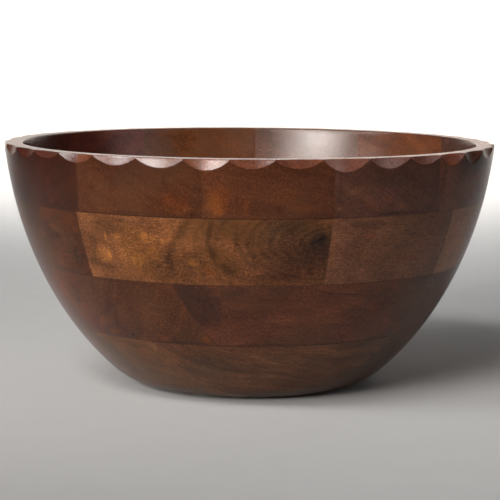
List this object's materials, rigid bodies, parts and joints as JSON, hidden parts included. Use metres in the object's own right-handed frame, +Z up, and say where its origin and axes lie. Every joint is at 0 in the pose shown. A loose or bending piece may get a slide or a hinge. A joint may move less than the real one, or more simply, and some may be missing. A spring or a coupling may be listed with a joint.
{
  "type": "serving bowl",
  "caption": "Round turned wooden serving bowl, laminated from courses of glued blocks, with a flat foot, a deep open hollow and a gouge-scooped scalloped rim.",
  "frame": {"origin": "centre of the foot's flat underside, on the surface the bowl stands on", "axes": "+Z up along the turning axis, out of the open mouth; -Y is the front, +X is to the right of someone facing the front"},
  "size_m": [0.3035, 0.3035, 0.1503],
  "materials": {
    "golden_brown_wood": "satin lacquer, lightest boards, golden brown with curved growth rings",
    "red_brown_wood": "satin lacquer, red-brown boards",
    "dark_brown_wood": "satin lacquer, darkest boards",
    "grey_brown_wood": "satin lacquer, greyish brown boards"
  },
  "bodies": {
    "root": {"base_front_board": "dark_brown_wood", "base_front_middle_board": "grey_brown_wood", "base_back_middle_board": "red_brown_wood", "base_back_board": "grey_brown_wood", "lower_front_board": "red_brown_wood", "lower_second_left": "red_brown_wood", "lower_second_right": "dark_brown_wood", "lower_third_left": "grey_brown_wood", "lower_third_right": "red_brown_wood", "lower_fourth_left": "dark_brown_wood", "lower_fourth_right": "golden_brown_wood", "lower_back_board": "grey_brown_wood", "upper_segment_1": "golden_brown_wood", "upper_segment_2": "grey_brown_wood", "upper_segment_3": "grey_brown_wood", "upper_segment_4": "red_brown_wood", "upper_segment_5": "golden_brown_wood", "upper_segment_6": "dark_brown_wood", "rim_left_board": "dark_brown_wood", "rim_mid_left_front": "dark_brown_wood", "rim_mid_left_back": "golden_brown_wood", "rim_centre_front": "red_brown_wood", "rim_centre_back": "red_brown_wood", "rim_mid_right_front": "dark_brown_wood", "rim_mid_right_back": "golden_brown_wood", "rim_right_board": "grey_brown_wood"}
  },
  "joints": []
}
